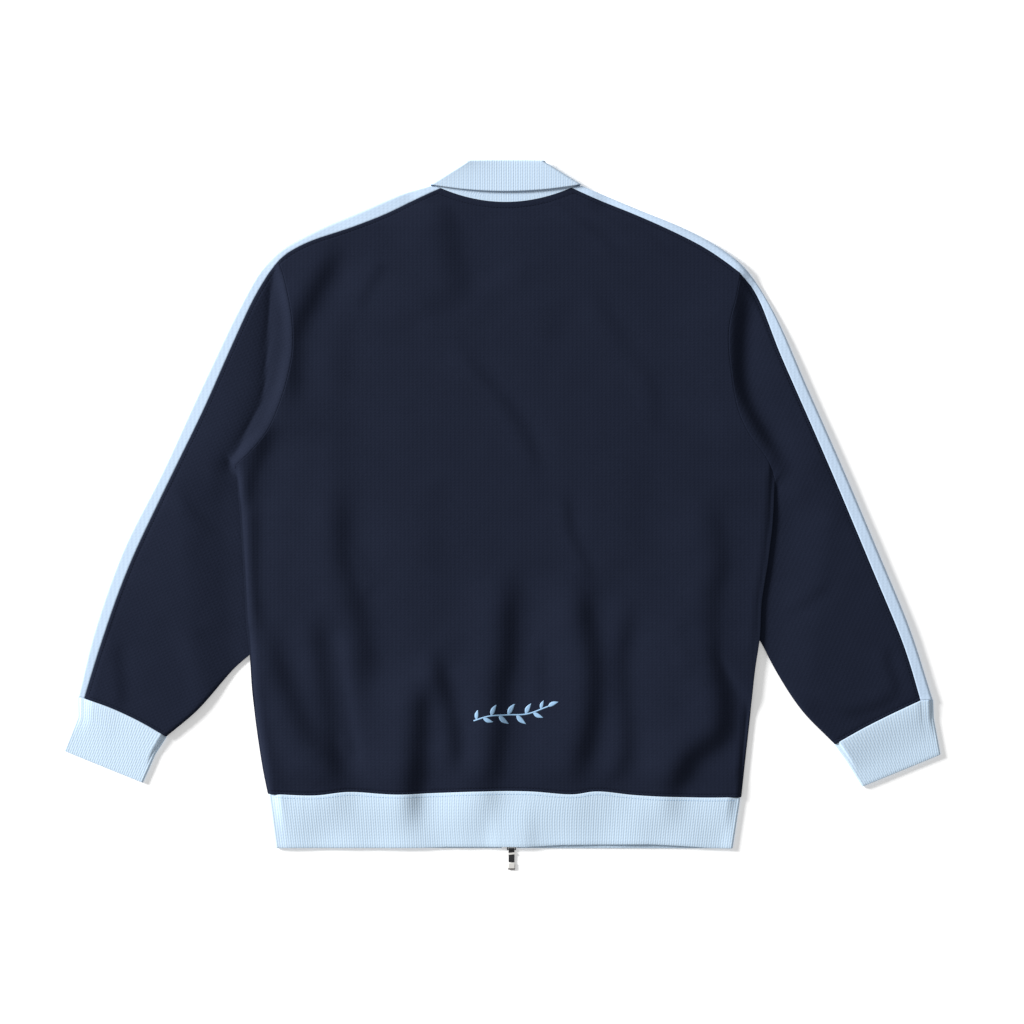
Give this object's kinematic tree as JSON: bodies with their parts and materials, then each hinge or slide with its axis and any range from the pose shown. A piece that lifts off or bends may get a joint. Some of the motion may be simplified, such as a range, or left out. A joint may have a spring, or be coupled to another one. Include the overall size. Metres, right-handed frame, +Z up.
{
  "type": "track jacket",
  "caption": "Zipped track jacket laid flat, face down, with a ribbed turned-down collar, cuffs and hem band and a pale stripe along each shoulder and sleeve.",
  "frame": {"origin": "under the middle of the laid-out jacket, on the surface that it lies on", "axes": "+X across the jacket to the right as seen from above, +Y towards the collar, +Z up, out of the back"},
  "size_m": [0.9194, 0.7446, 0.0103],
  "materials": {
    "body_knit": "smooth double knit, matte with a faint sheen",
    "stripe_knit": "smooth double knit, matte",
    "rib_knit": "ribbed knit, matte",
    "tape": "woven tape, matte",
    "zip_teeth": "satin",
    "zip_metal": "satin",
    "pull_tape": "woven, matte",
    "pull_metal": "bright, worn"
  },
  "bodies": {
    "jacket": {"back": "body_knit", "front_left": "body_knit", "front_right": "body_knit", "sleeve_back_left": "body_knit", "sleeve_back_right": "body_knit", "sleeve_front_left": "body_knit", "sleeve_front_right": "body_knit", "stripe_left": "stripe_knit", "stripe_right": "stripe_knit", "cuff_left": "rib_knit", "cuff_right": "rib_knit", "hem_rib": "rib_knit", "collar": "rib_knit", "zip_tape": "tape", "zip_chain": "zip_teeth", "zip_slider_upper": "zip_metal", "zip_slider_lower": "zip_metal"},
    "pull": {"pull_tab": "pull_tape", "pull_band": "pull_metal", "pull_cap": "pull_metal"}
  },
  "joints": [
    {"name": "pull_lift", "type": "hinge", "parent": "jacket", "child": "pull", "pos_m": [0.0098, -0.35078, 0.0012], "axis": [-1, 0, 0], "range_deg": [0, 90]}
  ]
}
